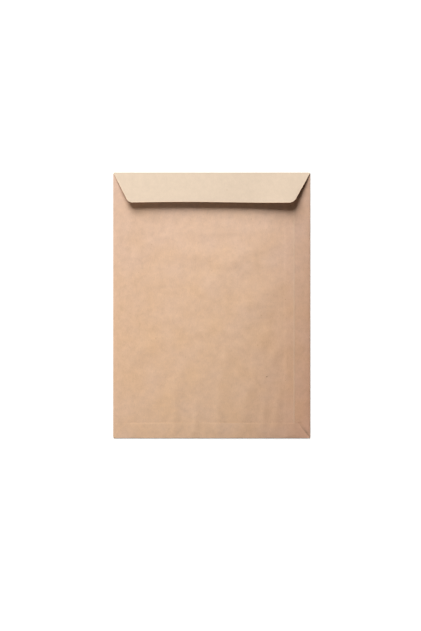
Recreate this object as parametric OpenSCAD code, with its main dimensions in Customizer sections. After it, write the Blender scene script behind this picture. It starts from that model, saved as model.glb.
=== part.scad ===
// Open-end paper envelope, folded from one sheet of kraft paper and lying on its address side.
// X runs across the envelope, Y runs up to the folded closure flap, and the underside is at Z = 0.
// Every size is in millimetres.

/* [Envelope] */
// Outside width across the two side folds
envelope_w = 230; // [190:1:260]
// Outside height from the bottom fold to the top fold
envelope_h = 310; // [260:1:350]
// Thickness of the paper
paper_t = 0.16; // [0.14:0.01:0.24]

/* [Closure flap] */
// Depth of the closure flap, seen from above
flap_depth = 35; // [26:0.5:50]
// How far each side of the flap slants in at its free edge
flap_taper = 19; // [8:0.5:30]
// Radius of the flap's two free corners
flap_corner_r = 8; // [3:0.5:12]
// Height of the free edge above the flap's fold
flap_lift = 7.4; // [4:0.2:11]
// Bow of the flap above a straight line from its fold to its free edge
flap_bow_h = 0; // [-0.5:0.1:1]
// Extra height of the free edge where the pocket pushes it up, a little left of the middle
flap_hump_h = 1.3; // [0:0.1:2]
// Extra height that the flap's right corner curls up to
flap_curl_h = 4.2; // [0:0.2:5]
// Distance from the top fold down to the mouth of the pocket
mouth_drop = 2; // [1.5:0.25:6]
// Inside radius of the fold that the closure flap turns on
flap_fold_r = 0.45; // [0.4:0.05:0.8]

/* [Side seam] */
// Width of the side flap left bare between the back's cut edge and the right fold
seam_bare_w = 18.6; // [12:0.2:28]
// Width of the glued lap, where the back lies on the side flap
seam_glue_w = 10; // [6:0.5:16]

/* [Bottom flap] */
// Height of the bottom flap above the bottom fold
bottom_flap_h = 18.6; // [12:0.2:28]
// How far each end of the bottom flap slants in at its cut edge
mitre_run = 18; // [10:0.5:28]
// Radius of the two corners between the mitred ends and the flap's straight edge
bottom_corner_r = 2; // [1:0.25:4]

/* [Pocket] */
// Gap between the front and the back beside the folds
pocket_gap = 0.4; // [0.3:0.05:0.6]
// Extra height of the empty pocket at its middle
pocket_bulge = 2.8; // [1:0.1:5]
// Extra height that the paper springs up to beside the right fold, where its crease stays part open
crease_h = 1; // [0.4:0.1:1.6]
// The same beside the left fold, which is pressed flatter
left_crease_h = 0.4; // [0.2:0.1:1.6]
// Height of the long slanting waves in the back
wave_h = 0.1; // [0:0.02:0.4]
// Distance from crest to crest of the slanting waves
wave_length = 58; // [45:1:90]
// Direction of the crests, in degrees up from the X axis
wave_turn = 42; // [25:1:65]

/* [Hidden] */

paper_colour = "#DDBC9A";
// How deep two glued layers sit in each other
glue_bite = 0.02;
// Width over which a layer steps up or down at the edge of the layer below
step_w = 2.5;
// Facets round each fold
fold_steps = 5;
// How far the back and the side flap are cut short of the bottom fold
bottom_cut = 1.6;
// Distance over which the paper springs up from the left fold, and from the ends of both side folds
crease_reach = 24;
crease_end_reach = 110;
// Width beside the left fold where the grid lines are closer
edge_w = 26;
// Length by which a cutting outline runs on past the sheet
run_on = 12;

side_fold_r = pocket_gap / 2 + paper_t;
bottom_fold_r = (pocket_gap + 3 * paper_t - glue_bite) / 2;
top_fold_r = flap_fold_r + paper_t;

side_x = envelope_w / 2 - side_fold_r;
seam_x = envelope_w / 2 - seam_bare_w;
lap_x = seam_x - seam_glue_w;
bottom_y = bottom_fold_r - envelope_h / 2;
cut_y = bottom_cut - envelope_h / 2;
bottom_flap_y = bottom_flap_h - envelope_h / 2;
mouth_y = envelope_h / 2 - mouth_drop;
top_y = envelope_h / 2 - top_fold_r;
flap_edge_y = envelope_h / 2 - flap_depth;
flap_run = top_y - flap_edge_y;

// Lines of the grid that the layers share, so that glued layers run parallel
edge_xs = spaced(-side_x, -side_x + edge_w, 4);
field_xs = spaced(-side_x + edge_w, lap_x - step_w, 16);
lap_xs = spaced(lap_x, seam_x, 2);
bare_xs = spaced(seam_x + step_w, side_x, 2);
back_xs = concat(edge_xs, rest(field_xs), lap_xs);
side_ys = concat(spaced(cut_y, bottom_flap_y, 3), rest(spaced(bottom_flap_y, mouth_y, 27)));

function spaced(from, to, count) = [for (i = [0 : count]) from + (to - from) * i / count];
function rest(list) = [for (i = [1 : len(list) - 1]) list[i]];
function clamp(v) = min(max(v, 0), 1);
function reversed(list) = [for (i = [1 : len(list)]) list[len(list) - i]];

// A paper panel springs up steeply beside a fold and levels out at a distance from it
function spring(distance, reach) = 1 - pow(1 - clamp(distance / reach), 3);

// Shape of the pocket: nothing at the folds and one at the middle
function fullness(x, y) = (1 - pow(x / side_x, 2)) * 4 * (y - bottom_y) * (top_y - y) / pow(top_y - bottom_y, 2);

// Rise beside the side folds: a curve at the left, and straight up to the back's cut edge at the right
function right_crease(x) = crease_h * clamp((side_x - x) / (side_x - seam_x));
function left_crease(x) = left_crease_h * spring(side_x + x, crease_reach)
    + (crease_h - left_crease_h) * clamp((side_x + x) / side_x);
function crease(x, y) = spring(y - bottom_y, crease_end_reach) * spring(top_y - y, crease_end_reach)
    * (x > 0 ? right_crease(x) : left_crease(x));

// Long waves that run from the lower left to the upper right, and fade in and out along their crests
function wave(x, y) =
    let (
        across = y * cos(wave_turn) - x * sin(wave_turn),
        along = x * cos(wave_turn) + y * sin(wave_turn)
    )
    wave_h * sin(360 * across / wave_length) * (2 + sin(90 * along / wave_length)) / 3;

// Height of the pocket's inner ceiling
function ceiling(x, y) = paper_t + pocket_gap + crease(x, y)
    + (pocket_bulge + wave(x, y)) * fullness(x, y);

// How far the back has stepped up on to the side flap
function lap(x) = clamp((x - lap_x + step_w) / step_w);
function under_back(x, y) = ceiling(x, y) + lap(x) * (paper_t - glue_bite);

// How far the bottom flap has stepped up on to the lap, and down again beyond the back's cut edge
function double_lap(x) = min(lap(x), clamp((seam_x + step_w - x) / step_w));
function on_layers(y) = clamp((y - bottom_y) / (cut_y - bottom_y));
function under_bottom_flap(x, y) = ceiling(x, y)
    + (paper_t - glue_bite) * (1 + double_lap(x) * on_layers(y));

// The free edge of the closure flap has a low hump left of its middle, and curls up at its right corner
function hump(x) = flap_hump_h * exp(-pow((x / envelope_w + 0.07) / 0.16, 2));
function curl(x) = flap_curl_h * pow(clamp((x / envelope_w - 0.12) / 0.34), 2);
function edge_lift(x) = flap_lift + hump(x) + curl(x);
// Slope and height of the flap at a distance d from the end of its fold
function flap_start(x) = (edge_lift(x) + 4 * flap_bow_h) / flap_run;
function flap_slope(x, d) = flap_start(x) - 8 * flap_bow_h * d / pow(flap_run, 2);
function flap_rise(x, d) = flap_start(x) * d - 4 * flap_bow_h * pow(d / flap_run, 2);

// One region of the sheet between two matching grids of points, which lie on its two faces
module sheet(outer, inner)
{
    rows = len(outer);
    columns = len(outer[0]);
    count = rows * columns;
    points = concat([for (row = outer) each row], [for (row = inner) each row]);
    top = [
        for (j = [0 : rows - 2]) for (i = [0 : columns - 2])
            let (a = j * columns + i, b = a + columns)
            each [[a, b, b + 1], [a, b + 1, a + 1]]
    ];
    bottom = [for (face = top) [face[0] + count, face[2] + count, face[1] + count]];
    rim = concat(
        [for (i = [0 : columns - 1]) i],
        [for (j = [1 : rows - 1]) j * columns + columns - 1],
        [for (i = [1 : columns - 1]) count - 1 - i],
        [for (j = [1 : rows - 2]) (rows - 1 - j) * columns]
    );
    walls = [
        for (k = [0 : len(rim) - 1])
            let (a = rim[k], b = rim[(k + 1) % len(rim)])
            each [[a, b, b + count], [a, b + count, a + count]]
    ];
    polyhedron(points = points, faces = concat(top, bottom, walls), convexity = 8);
}

// Points round a fold that turns up from the table: the angle runs from -90 at the table to its end
function fold_angles(end) = spaced(-90, end, fold_steps);

// The address side, flat on the table
module front()
{
    translate([-side_x, bottom_y, 0])
        cube([2 * side_x, top_y - bottom_y, paper_t]);
}

// The back with the left fold, whose right edge is cut and lies on the side flap
module back()
{
    arc = fold_angles(90);
    outer = [
        for (y = side_ys) concat(
            [for (a = arc) [-side_x - side_fold_r * cos(a), y, side_fold_r * (1 + sin(a))]],
            [for (x = rest(back_xs)) [x, y, under_back(x, y) + paper_t]]
        )
    ];
    inner = [
        for (y = side_ys) concat(
            [for (a = arc) [-side_x - pocket_gap / 2 * cos(a), y, side_fold_r + pocket_gap / 2 * sin(a)]],
            [for (x = rest(back_xs)) [x, y, under_back(x, y)]]
        )
    ];
    sheet(outer, inner);
}

// The side flap with the right fold, which runs in under the back
module side_flap()
{
    arc = reversed(fold_angles(90));
    xs = concat(lap_xs, bare_xs);
    flat_xs = [for (i = [0 : len(xs) - 2]) xs[i]];
    outer = [
        for (y = side_ys) concat(
            [for (x = flat_xs) [x, y, ceiling(x, y) + paper_t]],
            [for (a = arc) [side_x + side_fold_r * cos(a), y, side_fold_r * (1 + sin(a))]]
        )
    ];
    inner = [
        for (y = side_ys) concat(
            [for (x = flat_xs) [x, y, ceiling(x, y)]],
            [for (a = arc) [side_x + pocket_gap / 2 * cos(a), y, side_fold_r + pocket_gap / 2 * sin(a)]]
        )
    ];
    sheet(outer, inner);
}

// Outline of the bottom flap: mitred ends that start at the corners of the envelope
module bottom_outline()
{
    half = envelope_w / 2;
    low = -envelope_h / 2;
    slant = mitre_run / bottom_flap_h;
    offset(r = bottom_corner_r)
        offset(delta = -bottom_corner_r)
            polygon([
                [-half - run_on * slant, low - run_on],
                [half + run_on * slant, low - run_on],
                [half - bottom_flap_h * slant, low + bottom_flap_h],
                [-half + bottom_flap_h * slant, low + bottom_flap_h]
            ]);
}

// The bottom flap with the bottom fold, glued over the back and the side flap
module bottom_flap()
{
    xs = concat(back_xs, bare_xs);
    ys = spaced(cut_y, bottom_flap_y, 3);
    arc = fold_angles(90);
    outer = concat(
        [for (a = arc) [for (x = xs) [x, bottom_y - bottom_fold_r * cos(a), bottom_fold_r * (1 + sin(a))]]],
        [for (y = ys) [for (x = xs) [x, y, under_bottom_flap(x, y) + paper_t]]]
    );
    bend = bottom_fold_r - paper_t;
    inner = concat(
        [for (a = arc) [for (x = xs) [x, bottom_y - bend * cos(a), bottom_fold_r + bend * sin(a)]]],
        [for (y = ys) [for (x = xs) [x, y, under_bottom_flap(x, y)]]]
    );
    intersection()
    {
        sheet(outer, inner);
        translate([0, 0, -1])
            linear_extrude(height = run_on)
                bottom_outline();
    }
}

// Outline of the closure flap: sides that slant in from the top corners to two rounded corners
module flap_outline()
{
    half = envelope_w / 2;
    high = envelope_h / 2;
    slant = flap_taper / flap_depth;
    offset(r = flap_corner_r)
        offset(delta = -flap_corner_r)
            polygon([
                [-half - run_on * slant, high + run_on],
                [half + run_on * slant, high + run_on],
                [half - flap_taper, flap_edge_y],
                [-half + flap_taper, flap_edge_y]
            ]);
}

// The closure flap with the top fold, folded over the mouth and standing up from the back
module closure_flap()
{
    xs = spaced(-side_x, side_x, 24);
    runs = rest(spaced(0, 1.03 * flap_run, 8));
    outer = [for (x = xs) flap_face(x, runs, paper_t)];
    inner = [for (x = xs) flap_face(x, runs, 0)];
    intersection()
    {
        sheet(outer, inner);
        translate([0, 0, -1])
            linear_extrude(height = 2 * run_on)
                flap_outline();
    }
}

// One line of the flap from the table round the fold to the free edge, at a distance above the inside
function flap_face(x, runs, above) =
    let (
        lean = atan(flap_start(x)),
        r = flap_fold_r + above,
        mid_y = top_y + flap_fold_r * sin(lean),
        mid_z = top_fold_r + flap_fold_r * cos(lean)
    )
    concat(
        [for (a = fold_angles(90 - lean)) [x, top_y + r * cos(a), top_fold_r + r * sin(a)]],
        [
            for (d = runs)
                let (turn = atan(flap_slope(x, d)))
                [x, mid_y - d + above * sin(turn), mid_z + flap_rise(x, d) + above * cos(turn)]
        ]
    );

module envelope()
{
    // The facets of the folds fall short of their true radius, so the sheet is brought to its full size
    color(paper_colour)
        resize([envelope_w, envelope_h, 0])
            union()
            {
                front();
                back();
                side_flap();
                bottom_flap();
                closure_flap();
            }
}

envelope();
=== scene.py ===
import math

import bmesh
import bpy
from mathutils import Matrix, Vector, noise


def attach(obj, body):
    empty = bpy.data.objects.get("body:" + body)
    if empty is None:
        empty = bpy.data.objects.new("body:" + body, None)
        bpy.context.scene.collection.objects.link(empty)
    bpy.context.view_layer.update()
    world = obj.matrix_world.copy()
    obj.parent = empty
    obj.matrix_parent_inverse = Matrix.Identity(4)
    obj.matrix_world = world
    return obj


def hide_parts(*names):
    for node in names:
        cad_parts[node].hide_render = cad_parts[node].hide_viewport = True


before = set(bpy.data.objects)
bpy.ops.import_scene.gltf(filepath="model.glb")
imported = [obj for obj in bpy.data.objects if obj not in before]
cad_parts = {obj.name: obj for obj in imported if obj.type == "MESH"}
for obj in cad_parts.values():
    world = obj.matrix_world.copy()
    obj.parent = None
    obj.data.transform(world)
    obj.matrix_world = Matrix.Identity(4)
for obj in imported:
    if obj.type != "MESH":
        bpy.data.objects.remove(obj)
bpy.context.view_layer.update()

mm = 0.001  # all the sizes below are in millimetres, and Blender's unit is the metre

# The envelope's sizes, as a folding drawing gives them
envelope = {
    "width": 230,
    "height": 310,
    "paper": 0.16,
    "flapDepth": 35.4,
    "flapTaper": {-1: 18.2, 1: 19.8},  # how far the left and the right side slant in
    "flapCornerR": {-1: 8, 1: 9},
    "flapLift": 7.2,         # free edge above the end of the top fold
    "flapHump": 0.7,         # the pocket pushes the flap up a little left of its middle
    "flapHumpAt": -0.04,     # these places and widths are shares of the envelope's width
    "flapHumpWidth": 0.21,
    "flapCurl": 2.3,         # and it curls up beside its right corner
    "flapCurlAt": 0.385,
    "flapCurlWidth": {-1: 0.125, 1: 0.08},
    "flapEndBow": 1.0,       # its right end bows up above a straight line from fold to free edge
    "flapEndBowFrom": 0.4,
    "mouthDrop": 2,
    "flapFoldR": 0.45,       # inside radius of the top fold
    "seamBare": 18.6,        # side flap left bare beside the right fold
    "seamGlue": 10,
    "bottomFlap": 17.8,
    "mitreRun": 14,          # each end of the bottom flap slants in this far
    "bottomCornerR": 2,
    "bottomCut": 1.6,        # the back and the side flap stop this far inside the bottom edge
    "pocketGap": 0.4,
    "pocketBulge": 2.0,
    "creaseRise": 0.72,      # the paper springs up this far beside the right fold
    "leftCreaseRise": 0.4,
    "rollOff": 0.25,         # the paper bends down more steeply close to the right fold
    "rollOffReach": 5,
    "rollOffEnds": (15, 30),    # and less so this near the bottom and the top fold
    "rollOffFrom": (40, 100),   # it sets in between these places to the right of the middle
    "creaseReach": 24,
    "creaseEndReach": 110,
    "waveHeight": 0.1,
    "waveLength": 58,
    "waveTurn": 42,
    "cockle": ((0.16, 17, 20), (0.06, 8, 10)),  # height, and size across and up, of a faint unevenness
    "handlingFade": 14,      # handling marks die out this near a fold
    "glueBite": 0.02,        # glued layers sit this deep in each other
    "stepWidth": 2.5,        # a layer steps over an edge below it within this width
    "edgeDip": 0.055,        # the glued edge of the bottom flap is pressed in a little
    "edgeDipWidth": 2.6,
    "mitreDip": 0.38,        # and more along its mitre at the right
    "mitreDipWidth": 4.5,
    "mitreDipFrom": 8,       # it deepens over this distance across the seam
    "scuffHighlightStrip": 0.9,       # width of paper beside a long cut edge that is scuffed and carries a painted highlight
    "flapScuffAndHighlight": 0.9,        # how pale the strip beside the long cut edges is: scuffing, and a painted highlight along the edge
    "seamScuffAndHighlight": 0.4,
    "bottomScuffAndHighlight": 0.1,
    "mitreShadeStrength": 0.6,        # how dark the painted shade beside the mitre is, where the gap along it lies in shade
    "mitreShadeWidth": 2.6,
    "mitreShadeFade": 11,     # it thins out over this distance up to the flap's edge
    "bottomFoldRub": 0.3,    # the bottom fold is less handled than the others
    "flapEdgeWander": 0.5,   # the closure flap's free edge isn't quite straight
    "flapWanderLength": 210,
    "flapWanderAt": 22,
}

# Soft ridges and hollows left by handling: middle x and y, direction in degrees, length, width, height
softRidges = [
    (-4, 74, 0, 24, 7, -0.22),
    (-10, 58, -6, 26, 7, 0.24),
    (-12, 41, 8, 14, 6, -0.18),
    (-6, 21, 45, 18, 5, 0.27),
    (32, 56, 32, 20, 7, 0.24),
    (42, 35, 42, 22, 7, -0.21),
    (52, 9, 38, 28, 9, 0.35),
    (60, -22, 35, 20, 8, -0.21),
    (78, -50, 62, 22, 6, 0.34),
    (60, -40, 60, 16, 6, 0.13),
    (-79, -51, 0, 12, 8, 0.24),
    (-78, -70, 0, 12, 8, -0.19),
    (-42, -98, 68, 26, 8, 0.27),
    (-83, 62, 40, 24, 8, 0.14),
    (-40, 30, 20, 18, 8, 0.13),
    (-10, -27, 30, 16, 7, 0.18),
    (14, -68, 82, 18, 5, 0.29),
    (-43, -132, 88, 24, 5, 0.29),
    (-19, -134, 86, 26, 4.5, 0.37),
    (7, -132, 92, 22, 5, 0.35),
    (39, -120, 82, 24, 6, 0.40),
    (61, -128, 86, 24, 4, 0.35),
    (77, -118, 80, 30, 4.5, 0.38),
]

# Places that follow from the sizes
halfWidth = envelope["width"] / 2
halfHeight = envelope["height"] / 2
paper = envelope["paper"]
sideFoldR = envelope["pocketGap"] / 2 + paper
bottomFoldR = (envelope["pocketGap"] + 3 * paper - envelope["glueBite"]) / 2
topFoldR = envelope["flapFoldR"] + paper
sideX = halfWidth - sideFoldR
seamX = halfWidth - envelope["seamBare"]
lapX = seamX - envelope["seamGlue"]
bottomY = bottomFoldR - halfHeight
cutY = envelope["bottomCut"] - halfHeight
bottomFlapY = envelope["bottomFlap"] - halfHeight
mouthY = halfHeight - envelope["mouthDrop"]
topY = halfHeight - topFoldR
flapRun = topY - (halfHeight - envelope["flapDepth"])
bottomFlapRun = bottomFlapY - bottomY
sideArc = math.pi * sideFoldR
bottomArc = math.pi * bottomFoldR
topArc = 0.93 * math.pi * topFoldR


def clamp(value):
    return min(max(value, 0.0), 1.0)


def spring(distance, reach):
    return 1 - (1 - clamp(distance / reach)) ** 3


def fullness(x, y):  # nothing at the folds, one at the middle of the pocket
    return (1 - (x / sideX) ** 2) * 4 * (y - bottomY) * (topY - y) / (topY - bottomY) ** 2


def crease(x, y):  # straight up to the back's cut edge at the right, a curve at the left
    ends = spring(y - bottomY, envelope["creaseEndReach"]) * spring(topY - y, envelope["creaseEndReach"])
    if x > 0:
        nearBottom, nearTop = envelope["rollOffEnds"]
        start, full = envelope["rollOffFrom"]
        steeper = envelope["rollOff"] * spring(y - bottomY, nearBottom) * spring(topY - y, nearTop)
        straight = envelope["creaseRise"] * ends * clamp((sideX - x) / (sideX - seamX))
        setIn = clamp((x - start) / (full - start))
        return straight + steeper * spring(sideX - x, envelope["rollOffReach"]) * setIn
    left = envelope["leftCreaseRise"]
    fromLeft = clamp((sideX + x) / sideX)
    return ends * (left * spring(sideX + x, envelope["creaseReach"]) + (envelope["creaseRise"] - left) * fromLeft)


def longWave(x, y):
    turn = math.radians(envelope["waveTurn"])
    across = y * math.cos(turn) - x * math.sin(turn)
    along = x * math.cos(turn) + y * math.sin(turn)
    swell = math.sin(2 * math.pi * across / envelope["waveLength"])
    return envelope["waveHeight"] * swell * (2 + math.sin(math.pi / 2 * along / envelope["waveLength"])) / 3


def handling(x, y):  # soft ridges and a faint cockle, which die out at the folds
    (coarse, coarseX, coarseY), (fine, fineX, fineY) = envelope["cockle"]
    total = coarse * noise.noise(Vector((x / coarseX, y / coarseY, 3.1)))
    total += fine * noise.noise(Vector((x / fineX, y / fineY, 8.4)))
    for ridgeX, ridgeY, turn, length, width, height in softRidges:
        dx = x - ridgeX
        dy = y - ridgeY
        turn = math.radians(turn)
        along = (dx * math.cos(turn) + dy * math.sin(turn)) / length
        across = (dy * math.cos(turn) - dx * math.sin(turn)) / width
        if abs(along) < 2.5 and abs(across) < 2.5:
            total += height * math.exp(-along ** 2 - across ** 2)
    nearFold = min(sideX + x, 2 * (sideX - x), topY - y, 2 * (y - bottomY))
    return total * clamp(nearFold / envelope["handlingFade"])


def pastMitre(x, y):  # distance beyond the slanted right end of the bottom flap
    slope = envelope["mitreRun"] / envelope["bottomFlap"]
    return (x - halfWidth + (y + halfHeight) * slope) / math.hypot(1, slope)


def pressedIn(x, y):  # beside the glued edge of the bottom flap, and along its mitre at the right
    pastEdge = y - bottomFlapY
    pastSlant = pastMitre(x, y)
    if pastSlant > pastEdge:
        fromSeam = clamp((x - seamX) / envelope["mitreDipFrom"] + 0.5)
        depth = envelope["mitreDip"] * fromSeam * clamp((sideX - x) / 2.5)
        return depth * (1 - clamp(abs(pastSlant) / envelope["mitreDipWidth"])) ** 2
    return envelope["edgeDip"] * (1 - clamp(abs(pastEdge) / envelope["edgeDipWidth"])) ** 2


def ceiling(x, y):  # inside height of the pocket
    height = paper + envelope["pocketGap"] + crease(x, y) + handling(x, y) - pressedIn(x, y)
    return height + (envelope["pocketBulge"] + longWave(x, y)) * fullness(x, y)


def lap(x):
    return clamp((x - lapX + envelope["stepWidth"]) / envelope["stepWidth"])


def underBack(x, y):
    return ceiling(x, y) + lap(x) * (paper - envelope["glueBite"])


def underBottomFlap(x, y):
    doubleLap = min(lap(x), clamp((seamX + envelope["stepWidth"] - x) / envelope["stepWidth"]))
    onLayers = clamp((y - bottomY) / (cutY - bottomY))
    return ceiling(x, y) + (paper - envelope["glueBite"]) * (1 + doubleLap * onLayers)


def foldedFlap(x, length):  # a point of the closure flap, at a length along the paper from the front
    across = x / envelope["width"]
    fromHump = (across - envelope["flapHumpAt"]) / envelope["flapHumpWidth"]
    hump = envelope["flapHump"] * math.exp(-fromHump ** 2)
    pastCurl = across - envelope["flapCurlAt"]
    curlWidth = envelope["flapCurlWidth"][-1 if pastCurl < 0 else 1]
    curl = envelope["flapCurl"] * math.exp(-(pastCurl / curlWidth) ** 2)
    bowFrom = envelope["flapEndBowFrom"]
    bow = 4 * envelope["flapEndBow"] * clamp((across - bowFrom) / (0.5 - bowFrom)) ** 2
    slope = (envelope["flapLift"] + hump + curl + bow) / flapRun
    lean = math.atan(slope)
    if length <= topArc:
        turn = -math.pi / 2 + (math.pi - lean) * length / topArc
        return x, topY + topFoldR * math.cos(turn), topFoldR * (1 + math.sin(turn))
    alongWander = (x - envelope["flapWanderAt"]) / envelope["flapWanderLength"]
    wander = envelope["flapEdgeWander"] * math.sin(2 * math.pi * alongWander)
    run = (length - topArc) * (1 + wander / flapRun)
    y = topY - run + topFoldR * math.sin(lean)
    z = topFoldR + run * slope - bow * (run / flapRun) ** 2 + topFoldR * math.cos(lean)
    return x, y, z


def foldedPlace(x, y):  # where a point of the flat blank goes on the outside of the folded envelope
    if y > topY:
        return foldedFlap(x, y - topY)
    if y < bottomY:
        length = bottomY - y
        turn = math.pi * (length / bottomArc - 0.5)
        if length <= bottomArc:
            return x, bottomY - bottomFoldR * math.cos(turn), bottomFoldR * (1 + math.sin(turn))
        y = bottomY + length - bottomArc
        return x, y, underBottomFlap(x, y) + paper
    if abs(x) > sideX:
        side = math.copysign(1, x)
        length = abs(x) - sideX
        turn = math.pi * (length / sideArc - 0.5)
        if length <= sideArc:
            return side * (sideX + sideFoldR * math.cos(turn)), y, sideFoldR * (1 + math.sin(turn))
        x = side * (sideX - length + sideArc)
        under = underBack(x, y) if side < 0 else ceiling(x, y)
        return x, y, under + paper
    return x, y, 0


# Modelling the flat blank by hand

def pickEdges(piece, wanted):
    bpy.ops.mesh.select_all(action="DESELECT")
    mesh = bmesh.from_edit_mesh(piece.data)
    for edge in mesh.edges:
        start, end = (point.co / mm for point in edge.verts)
        edge.select_set(wanted(start, end))
    bmesh.update_edit_mesh(piece.data)


def pickFaces(piece, wanted):
    bpy.ops.mesh.select_all(action="DESELECT")
    mesh = bmesh.from_edit_mesh(piece.data)
    for face in mesh.faces:
        if wanted(face.calc_center_median() / mm):
            face.select_set(True)
    bmesh.update_edit_mesh(piece.data)


def extrudeStrips(direction, strips):  # strips: a length in millimetres and its number of pieces
    for length, pieces in strips:
        step = Vector(direction) * length / pieces * mm
        for piece in range(pieces):
            bpy.ops.mesh.extrude_edges_move(TRANSFORM_OT_translate={"value": step})


def trimFlapEnd(piece, side, rootX, rootY, run, depth, cornerR, arms):
    # A slanted end and its round corner, cut with straight trims. arms is 1 for the top flap, -1 for the bottom one
    normal = Vector((depth, run)).normalized()
    cutAngle = math.atan2(normal.y, normal.x)
    corner = Vector((0, depth - cornerR))
    corner.x = rootX - (cornerR + corner.y * normal.y) / normal.x
    trims = 7
    pickFaces(piece, lambda middle: (middle.y - rootY) * arms > 0 and middle.x * side > 0)
    inside = corner + (cornerR - envelope["scuffHighlightStrip"]) * normal
    bpy.ops.mesh.bisect(
        plane_co=(side * inside.x * mm, (rootY + arms * inside.y) * mm, 0),
        plane_no=(side * normal.x, arms * normal.y, 0),
    )
    for trim in range(trims):
        angle = cutAngle + (math.pi / 2 - cutAngle) * trim / trims
        facing = Vector((math.cos(angle), math.sin(angle)))
        touch = corner + cornerR * facing
        pickFaces(piece, lambda middle: (middle.y - rootY) * arms > 0 and middle.x * side > 0)
        bpy.ops.mesh.bisect(
            plane_co=(side * touch.x * mm, (rootY + arms * touch.y) * mm, 0),
            plane_no=(side * facing.x, arms * facing.y, 0),
            clear_outer=True,
        )


def cutBlank():
    bpy.ops.object.select_all(action="DESELECT")
    bpy.ops.mesh.primitive_plane_add(size=1)
    blank = bpy.context.object
    blank.name = "folded_envelope"
    bpy.ops.object.mode_set(mode="EDIT")
    bpy.ops.mesh.select_mode(type="EDGE")
    finer = 4  # rows are finer this far to each side of the bottom flap's edge
    firstRow = (bottomFlapY - cutY - finer) / 12
    bpy.ops.transform.resize(value=(2 * sideX * mm, firstRow * mm, 1))
    bpy.ops.transform.translate(value=(0, (cutY + firstRow / 2) * mm, 0))

    # Rows of the address side, then the top fold and the closure flap
    besideFold = 0.4  # a narrow strip beside each fold keeps the panels' shading flat
    besideCut = envelope["scuffHighlightStrip"]
    pickEdges(blank, lambda a, b: min(a.y, b.y) > cutY + firstRow - 0.01)
    extrudeStrips((0, 1, 0), [
        (11 * firstRow, 11),
        (finer, 5),
        (finer, 5),
        (mouthY - bottomFlapY - finer, 122),
        (topY - mouthY, 1),
        (topArc, 8),
        (besideFold, 1),
        (flapRun - besideFold - besideCut, 26),
        (besideCut, 1),
    ])
    # The bottom fold and the bottom flap
    pickEdges(blank, lambda a, b: max(a.y, b.y) < cutY + 0.01)
    extrudeStrips((0, -1, 0), [
        (cutY - bottomY, 1),
        (bottomArc, 6),
        (besideFold, 1),
        (bottomFlapRun - besideFold - finer, 12),
        (finer, 5),
    ])

    # Columns, with a line wherever a layer below begins or ends
    for cuts in (7, 12):
        pickEdges(blank, lambda a, b: abs(a.x - b.x) > 1)
        bpy.ops.mesh.subdivide(number_cuts=cuts)
    for x in (lapX - envelope["stepWidth"], lapX, seamX, seamX + envelope["stepWidth"]):
        bpy.ops.mesh.select_all(action="SELECT")
        bpy.ops.mesh.bisect(plane_co=(x * mm, 0, 0), plane_no=(1, 0, 0))

    # The back on the left fold, and the side flap on the right fold
    def onArmRows(point):
        return cutY - 0.01 < point.y < mouthY + 0.01

    pickEdges(blank, lambda a, b: max(a.x, b.x) < 0.01 - sideX and onArmRows(a) and onArmRows(b))
    extrudeStrips((-1, 0, 0), [
        (sideArc, 6),
        (besideFold, 1),
        (envelope["creaseReach"] - besideFold, 12),
        (lapX - envelope["stepWidth"] + sideX - envelope["creaseReach"], 78),
        (envelope["stepWidth"], 3),
        (envelope["seamGlue"] - 2 * besideCut, 5),
        (2 * besideCut, 1),
    ])
    pickEdges(blank, lambda a, b: min(a.x, b.x) > sideX - 0.01 and onArmRows(a) and onArmRows(b))
    extrudeStrips((1, 0, 0), [
        (sideArc, 6),
        (besideFold, 1),
        (envelope["rollOffReach"] - besideFold, 6),
        (sideX - seamX - envelope["rollOffReach"], 8),
        (envelope["seamGlue"], 4),
    ])

    # Slanted ends and round corners of the two flaps
    for side in (-1, 1):
        atFold = (halfHeight - topY) / envelope["flapDepth"]
        trimFlapEnd(
            blank, side, halfWidth - 0.3, topY + topArc,
            envelope["flapTaper"][side] * (1 - atFold), flapRun, envelope["flapCornerR"][side], 1,
        )
        atFold = bottomFoldR / envelope["bottomFlap"]
        trimFlapEnd(
            blank, side, halfWidth - envelope["mitreRun"] * atFold, bottomY - bottomArc,
            envelope["mitreRun"] * (1 - atFold), bottomFlapRun, envelope["bottomCornerR"], -1,
        )
    bpy.ops.mesh.select_all(action="SELECT")
    bpy.ops.mesh.flip_normals()  # the outside of the address side faces down
    bpy.ops.object.mode_set(mode="OBJECT")
    return blank


def keepFlatPlaces(piece):  # a UV map of the flat sheet, in metres, which the paper's patterns follow
    layer = piece.data.uv_layers.active
    layer.name = "flatSheet"
    for loop in piece.data.loops:
        layer.data[loop.index].uv = piece.data.vertices[loop.vertex_index].co.xy


def onArc(length, arc):  # whether a length along the paper falls on a fold
    return 0 < length + 0.01 < arc + 0.02


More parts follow.
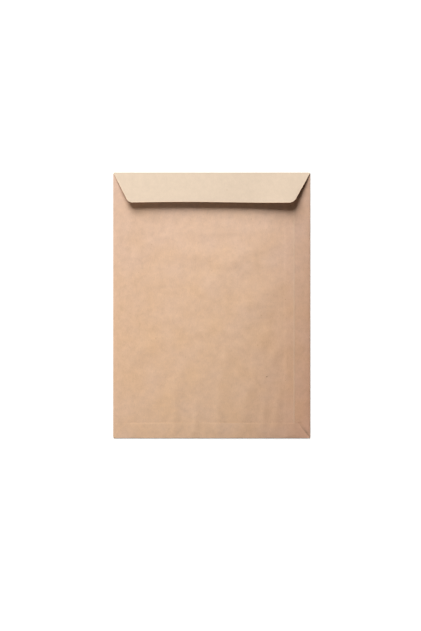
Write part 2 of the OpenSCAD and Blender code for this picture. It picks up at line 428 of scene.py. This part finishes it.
def markWearAndPaintedLight(piece):  # red where the sheet is cut (scuffing and a painted highlight), green where it is folded, blue where shade is painted along the mitre
    wearAndPaintedLight = piece.data.color_attributes.new("wearAndPaintedLight", "FLOAT_COLOR", "POINT")
    facesAtEdge = {}
    for face in piece.data.polygons:
        for edge in face.edge_keys:
            facesAtEdge[edge] = facesAtEdge.get(edge, 0) + 1
    atCut = {point for edge, faces in facesAtEdge.items() if faces == 1 for point in edge}
    for point in piece.data.vertices:
        x, y = point.co.x / mm, point.co.y / mm
        onSideFold = onArc(abs(x) - sideX, sideArc) and abs(y) < halfHeight - 1
        rub = 1 if onSideFold or onArc(y - topY, topArc) else 0
        if onArc(bottomY - y, bottomArc):
            rub = envelope["bottomFoldRub"]
        # beside a cut edge the paper is scuffed pale, with a painted highlight on top of the scuffing
        if y > topY:
            edgeScuffAndHighlight = envelope["flapScuffAndHighlight"]
        elif y < bottomY:
            edgeScuffAndHighlight = envelope["bottomScuffAndHighlight"] if y < bottomY - bottomArc - bottomFlapRun + 0.1 else 0
        else:
            edgeScuffAndHighlight = envelope["seamScuffAndHighlight"]
        cut = point.index in atCut
        # painted shade beside the bottom flap's right mitre, where the gap between the layers lies in shade
        paintedMitreShade = 0
        if x > sideX + sideArc and y < bottomFlapY:
            foldedX, foldedY, _ = foldedPlace(x, y)
            besideMitre = clamp(1 - abs(pastMitre(foldedX, foldedY)) / envelope["mitreShadeWidth"])
            paintedMitreShade = besideMitre * clamp((bottomFlapY - foldedY) / envelope["mitreShadeFade"])
        elif cut and y < bottomY - bottomArc and halfWidth - envelope["mitreRun"] + 2 < x:
            paintedMitreShade = 0.6
        wearAndPaintedLight.data[point.index].color = (cut * edgeScuffAndHighlight, rub, paintedMitreShade * envelope["mitreShadeStrength"], 1)


def foldBlank(piece):
    for point in piece.data.vertices:
        point.co = Vector(foldedPlace(point.co.x / mm, point.co.y / mm)) * mm
    solid = piece.modifiers.new("paperThickness", "SOLIDIFY")
    solid.thickness = paper * mm
    solid.offset = -1
    solid.material_offset = 1
    solid.material_offset_rim = 2
    bpy.ops.object.modifier_apply(modifier=solid.name)
    bpy.ops.object.shade_smooth_by_angle(angle=math.radians(40))


# Materials

def fromHex(colour):  # sRGB hex to linear
    values = [int(colour[i:i + 2], 16) / 255 for i in (1, 3, 5)]
    return [v / 12.92 if v <= 0.04045 else ((v + 0.055) / 1.055) ** 2.4 for v in values] + [1]


def addNode(tree, kind, values=None, links=None, **settings):
    node = tree.nodes.new(kind)
    for name, value in settings.items():
        setattr(node, name, value)
    for name, value in (values or {}).items():
        node.inputs[name].default_value = value
    for name, source in (links or {}).items():
        tree.links.new(source, node.inputs[name])
    return node


kraft = {
    "upper": "#E4C3AA",      # unbleached pulp, a warm tan with a little pink in it
    "lower": "#E4C0A0",      # a little yellower towards the bottom
    "flap": "#D2C0AB",       # painted light: the closure flap is painted creamier and less pink than the sheet, as its face looks where it tilts towards the lamp
    # painted shade: the flap is a little darker towards its right end, as the sheet is
    "flapLitToneRight": "#CEBBA6",
    "inner": "#D0B08E",
    "edge": "#EBD2B6",       # cut fibres, a little lighter than the pressed faces; beside the long cut edges it also gives a painted highlight
    # Painted shade across the sheet: a little darker at the very left, then darker and darker towards the right and
    # lower right: a place across it, and the share of colour left
    "paintedShadeAcross": [
        (0, "#F5F5F6"), (0.23, "#FEFEFE"), (0.45, "#FFFFFF"), (0.64, "#FCFBFB"),
        (0.78, "#F4F0F0"), (0.9, "#F1E9EA"), (1, "#E8D9DC"),
    ],
    "hueMm": 34,             # pinker and yellower clouds, this far apart
    "rubbed": "#A0968F",     # where the folds have been handled
    "foldRub": 0.5,
    # painted shade for the gap along the bottom flap's right mitre
    "paintedMitreShade": "#7F6A58",
    "shive": "#B08B66",      # bits of bark and unbroken wood in the pulp
    "speck": "#6A4E38",
    "grain": 0.27,           # contrast of the paper's clouds and fibres
    "flapGrain": 0.14,
    "cloudMm": 8,            # the cloudy formation of the pulp
    "fibreMm": 1.1,          # real fibres are 0.03 mm wide, too fine to show, so they are drawn coarser
    "fibreLengthMm": 3,
    "shiveSpacingMm": 16,
    "speckAt": (64.2, -83.2),
    "speckMm": 1.4,
    "toothMm": 0.03,         # depth of the surface's tooth, drawn coarser as the fibres are
}


def paperColour(tree, flat, plain):
    # The sheet's own tone with painted shade across it, the closure flap's creamier painted lit tone, and where the
    # flap is
    alongFlat = addNode(tree, "ShaderNodeSeparateXYZ", links={0: flat}).outputs["Y"]
    onFlap = addNode(
        tree, "ShaderNodeMapRange",
        {"From Min": (topY + 0.3 * topArc) * mm, "From Max": (topY + 0.7 * topArc) * mm}, {"Value": alongFlat},
    ).outputs["Result"]
    if plain:
        tone = addNode(tree, "ShaderNodeRGB")
        tone.outputs["Color"].default_value = fromHex(kraft[plain])
        return tone.outputs["Color"], onFlap
    place = addNode(tree, "ShaderNodeTexCoord").outputs["Object"]
    height = addNode(tree, "ShaderNodeSeparateXYZ", links={0: place}).outputs["Y"]
    downward = addNode(
        tree, "ShaderNodeMapRange", {"From Min": 0.8 * halfHeight * mm, "From Max": -0.15 * halfHeight * mm},
        {"Value": height},
    ).outputs["Result"]
    hueCloud = addNode(
        tree, "ShaderNodeTexNoise", {"Scale": 1 / (kraft["hueMm"] * mm), "Detail": 2}, {"Vector": flat},
    ).outputs["Fac"]
    hueShift = addNode(
        tree, "ShaderNodeMapRange", {"From Min": 0.3, "From Max": 0.7, "To Min": -0.4, "To Max": 0.4},
        {"Value": hueCloud},
    ).outputs["Result"]
    yellower = addNode(tree, "ShaderNodeMath", links={0: downward, 1: hueShift}, operation="ADD").outputs["Value"]
    body = addNode(
        tree, "ShaderNodeMix", {6: fromHex(kraft["upper"]), 7: fromHex(kraft["lower"])}, {0: yellower},
        data_type="RGBA", clamp_factor=False,
    ).outputs[2]
    # Painted shade: the sheet's colour is darkened towards its right and lower right along this slanting line
    slanting = addNode(
        tree, "ShaderNodeVectorMath", {1: (1, -0.16, 0)}, {0: place}, operation="DOT_PRODUCT",
    ).outputs["Value"]
    across = addNode(
        tree, "ShaderNodeMapRange", {"From Min": -halfWidth * mm, "From Max": 1.2 * halfWidth * mm},
        {"Value": slanting},
    ).outputs["Result"]
    paintedShadeAcross = addNode(tree, "ShaderNodeValToRGB", links={"Fac": across})
    paintedShadeAcross.color_ramp.interpolation = "B_SPLINE"
    while len(paintedShadeAcross.color_ramp.elements) < len(kraft["paintedShadeAcross"]):
        paintedShadeAcross.color_ramp.elements.new(0.5)
    for stop, (position, colour) in zip(paintedShadeAcross.color_ramp.elements, kraft["paintedShadeAcross"]):
        stop.position = position
        stop.color = fromHex(colour)
    shadedTone = addNode(
        tree, "ShaderNodeMix", {0: 1}, {6: body, 7: paintedShadeAcross.outputs["Color"]},
        data_type="RGBA", blend_type="MULTIPLY",
    ).outputs[2]
    flapLitTone = addNode(
        tree, "ShaderNodeMix", {6: fromHex(kraft["flap"]), 7: fromHex(kraft["flapLitToneRight"])}, {0: across},
        data_type="RGBA",
    ).outputs[2]
    tone = addNode(tree, "ShaderNodeMix", links={0: onFlap, 6: shadedTone, 7: flapLitTone}, data_type="RGBA").outputs[2]
    return tone, onFlap


def kraftPaper(name, roughness, plain=None):
    # Unbleached kraft paper, pressed smooth between rollers but uncoated: matt fibres with hardly any sheen
    material = bpy.data.materials.new(name)
    material.use_nodes = True
    tree = material.node_tree
    tree.nodes.clear()
    flat = addNode(tree, "ShaderNodeUVMap", uv_map="flatSheet").outputs["UV"]

    cloud = addNode(
        tree, "ShaderNodeTexNoise",
        {"Scale": 1 / (kraft["cloudMm"] * mm), "Detail": 3, "Roughness": 0.6}, {"Vector": flat},
    ).outputs["Fac"]
    alongFibres = addNode(
        tree, "ShaderNodeMapping",
        {"Rotation": (0, 0, math.radians(8)),
         "Scale": (1 / (kraft["fibreMm"] * mm), 1 / (kraft["fibreLengthMm"] * mm), 1)},
        {"Vector": flat},
    ).outputs["Vector"]
    fibres = addNode(
        tree, "ShaderNodeTexNoise", {"Scale": 1, "Detail": 3, "Roughness": 0.6, "Distortion": 1.3},
        {"Vector": alongFibres},
    ).outputs["Fac"]
    grain = addNode(tree, "ShaderNodeMath", links={0: cloud, 1: fibres}, operation="ADD").outputs["Value"]
    tone, onFlap = paperColour(tree, flat, plain)
    contrast = addNode(
        tree, "ShaderNodeMapRange", {"To Min": kraft["grain"], "To Max": kraft["flapGrain"]}, {"Value": onFlap},
    ).outputs["Result"]
    fromMiddle = addNode(tree, "ShaderNodeMath", {1: 1}, {0: grain}, operation="SUBTRACT").outputs["Value"]
    shade = addNode(
        tree, "ShaderNodeMath", {2: 1}, {0: fromMiddle, 1: contrast}, operation="MULTIPLY_ADD",
    ).outputs["Value"]
    shadedTone = addNode(
        tree, "ShaderNodeVectorMath", links={0: tone, "Scale": shade}, operation="SCALE",
    ).outputs["Vector"]

    # Shives, and one darker speck on the back
    shives = addNode(
        tree, "ShaderNodeTexVoronoi", {"Scale": 1 / (kraft["shiveSpacingMm"] * mm)}, {"Vector": flat},
    ).outputs["Distance"]
    onShive = addNode(
        tree, "ShaderNodeMapRange", {"From Min": 0.02, "From Max": 0.05, "To Min": 0.5, "To Max": 0},
        {"Value": shives},
    ).outputs["Result"]
    withShives = addNode(
        tree, "ShaderNodeMix", {7: fromHex(kraft["shive"])}, {0: onShive, 6: shadedTone}, data_type="RGBA",
    ).outputs[2]
    speckX, speckY = kraft["speckAt"]
    speckSize = kraft["speckMm"] * mm
    fromSpeck = addNode(
        tree, "ShaderNodeVectorMath", {1: (-(2 * sideX + sideArc + speckX) * mm, speckY * mm, 0)}, {0: flat},
        operation="DISTANCE",
    ).outputs["Value"]
    onSpeck = addNode(
        tree, "ShaderNodeMapRange",
        {"From Min": 0.3 * speckSize, "From Max": 0.6 * speckSize, "To Min": 0.8, "To Max": 0},
        {"Value": fromSpeck},
    ).outputs["Result"]
    withSpeck = addNode(
        tree, "ShaderNodeMix", {7: fromHex(kraft["speck"])}, {0: onSpeck, 6: withShives}, data_type="RGBA",
    ).outputs[2]

    # Cut edges are scuffed paler, partly a painted highlight, folds are rubbed a little darker, and shade is
    # painted along one mitre
    wearAndPaintedLight = addNode(
        tree, "ShaderNodeSeparateColor",
        links={0: addNode(tree, "ShaderNodeAttribute", attribute_name="wearAndPaintedLight").outputs["Color"]},
    )
    scuffedAndHighlit = addNode(
        tree, "ShaderNodeMix", {7: fromHex(kraft["edge"])}, {0: wearAndPaintedLight.outputs["Red"], 6: withSpeck},
        data_type="RGBA",
    ).outputs[2]
    atFold = addNode(
        tree, "ShaderNodeMapRange", {"To Max": kraft["foldRub"]}, {"Value": wearAndPaintedLight.outputs["Green"]},
    ).outputs["Result"]
    rubbed = addNode(
        tree, "ShaderNodeMix", {7: fromHex(kraft["rubbed"])}, {0: atFold, 6: scuffedAndHighlit}, data_type="RGBA",
    ).outputs[2]
    colour = addNode(
        tree, "ShaderNodeMix", {7: fromHex(kraft["paintedMitreShade"])}, {0: wearAndPaintedLight.outputs["Blue"], 6: rubbed},
        data_type="RGBA",
    ).outputs[2]

    tooth = addNode(
        tree, "ShaderNodeBump", {"Strength": 1, "Distance": kraft["toothMm"] * mm}, {"Height": fibres},
    ).outputs["Normal"]
    surface = addNode(
        tree, "ShaderNodeBsdfPrincipled", {"Roughness": roughness, "IOR": 1.5, "Specular IOR Level": 0.15},
        {"Base Color": colour, "Normal": tooth},
    ).outputs["BSDF"]
    addNode(tree, "ShaderNodeOutputMaterial", links={"Surface": surface})
    return material


# The envelope

print("cutting the flat blank")
folded = cutBlank()
keepFlatPlaces(folded)
markWearAndPaintedLight(folded)
folded.data.materials.append(kraftPaper("brown_kraft", 0.85))
folded.data.materials.append(kraftPaper("kraft_inside", 0.9, "inner"))
folded.data.materials.append(kraftPaper("kraft_cut_edge", 0.95, "edge"))
print("folding it")
foldBlank(folded)
print("envelope:", len(folded.data.polygons), "faces")
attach(folded, "root")
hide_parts("envelope")


# Table, lights and camera

studio = {
    "tableSize": 8,           # metres, as are the distances below
    "tableColour": "#F2F1EF",
    "tableGlow": 0.55,        # only where the camera sees the table
    "keyAzimuth": 17,         # degrees left of straight up the picture
    "keyElevation": 28.5,
    "keyDistance": 3.1,
    "keySize": 2.0,
    "keyWatts": 168,
    "fillAzimuth": 92,
    "fillElevation": 14,
    "fillDistance": 0.6,
    "fillSize": 0.25,
    "fillWatts": 1.1,
    "fillTint": "#FFF0E2",    # bounced off a warm wall
    "roomLight": 0.068,
    "roomTint": "#FFE8D2",
    "cameraHeight": 3,
    "pictureMiddle": (-1.46, -11.9),    # millimetres
    "pictureHeight": 735.6,
}


def cameraOnly(tree, plain, seen):  # one strength for light, another where the camera or a mirror sees it
    rays = addNode(tree, "ShaderNodeLightPath")
    glossy = addNode(
        tree, "ShaderNodeMath",
        links={0: rays.outputs["Is Camera Ray"], 1: rays.outputs["Is Glossy Ray"]}, operation="MAXIMUM",
    ).outputs["Value"]
    direct = addNode(
        tree, "ShaderNodeMath", links={0: glossy, 1: rays.outputs["Is Transmission Ray"]}, operation="MAXIMUM",
    ).outputs["Value"]
    return addNode(
        tree, "ShaderNodeMapRange", {"To Min": plain, "To Max": seen}, {"Value": direct},
    ).outputs["Result"]


def layTable():
    bpy.ops.object.select_all(action="DESELECT")
    bpy.ops.mesh.primitive_plane_add(size=studio["tableSize"], location=(0, 0, -0.00005))
    table = bpy.context.object
    table.name = "white_table"
    material = bpy.data.materials.new("white_table_top")
    material.use_nodes = True
    tree = material.node_tree
    tree.nodes.clear()
    lit = addNode(tree, "ShaderNodeBsdfDiffuse", {"Color": fromHex(studio["tableColour"])}).outputs["BSDF"]
    glow = addNode(
        tree, "ShaderNodeEmission", links={"Strength": cameraOnly(tree, 0, studio["tableGlow"])},
    ).outputs["Emission"]
    both = addNode(tree, "ShaderNodeAddShader", links={0: lit, 1: glow}).outputs["Shader"]
    addNode(tree, "ShaderNodeOutputMaterial", links={"Surface": both})
    table.data.materials.append(material)


def hangLamp(name, lamp, tint="#FFFFFF"):
    turn = math.radians(studio[lamp + "Azimuth"])  # counts left from +Y
    rise = math.radians(studio[lamp + "Elevation"])
    aim = Vector((-math.sin(turn) * math.cos(rise), math.cos(turn) * math.cos(rise), math.sin(rise)))
    data = bpy.data.lights.new(name, "AREA")
    data.shape = "DISK"
    data.size = studio[lamp + "Size"]
    data.energy = studio[lamp + "Watts"]
    data.color = fromHex(tint)[:3]
    hung = bpy.data.objects.new(name, data)
    hung.location = aim * studio[lamp + "Distance"]
    hung.rotation_euler = aim.to_track_quat("Z", "Y").to_euler()
    bpy.context.collection.objects.link(hung)


def lightRoom():
    world = bpy.data.worlds.new("pale_room")
    world.use_nodes = True
    tree = world.node_tree
    tree.nodes.clear()
    seen = cameraOnly(tree, 0, 1)
    strength = addNode(
        tree, "ShaderNodeMapRange", {"To Min": studio["roomLight"], "To Max": 1}, {"Value": seen},
    ).outputs["Result"]
    tint = addNode(
        tree, "ShaderNodeMix", {6: fromHex(studio["roomTint"]), 7: (1, 1, 1, 1)}, {0: seen}, data_type="RGBA",
    ).outputs[2]
    room = addNode(
        tree, "ShaderNodeBackground", links={"Color": tint, "Strength": strength},
    ).outputs["Background"]
    addNode(tree, "ShaderNodeOutputWorld", links={"Surface": room})
    bpy.context.scene.world = world


def placeCamera():
    data = bpy.data.cameras.new("overhead_camera")
    data.lens = data.sensor_width * studio["cameraHeight"] / (studio["pictureHeight"] * mm)
    camera = bpy.data.objects.new("overhead_camera", data)
    middleX, middleY = studio["pictureMiddle"]
    camera.location = (middleX * mm, middleY * mm, studio["cameraHeight"])
    bpy.context.collection.objects.link(camera)
    bpy.context.scene.camera = camera


print("table, lights and camera")
layTable()
lightRoom()
hangLamp("window_light", "key")
hangLamp("left_fill", "fill", studio["fillTint"])
placeCamera()
bpy.context.scene.view_settings.view_transform = "Standard"
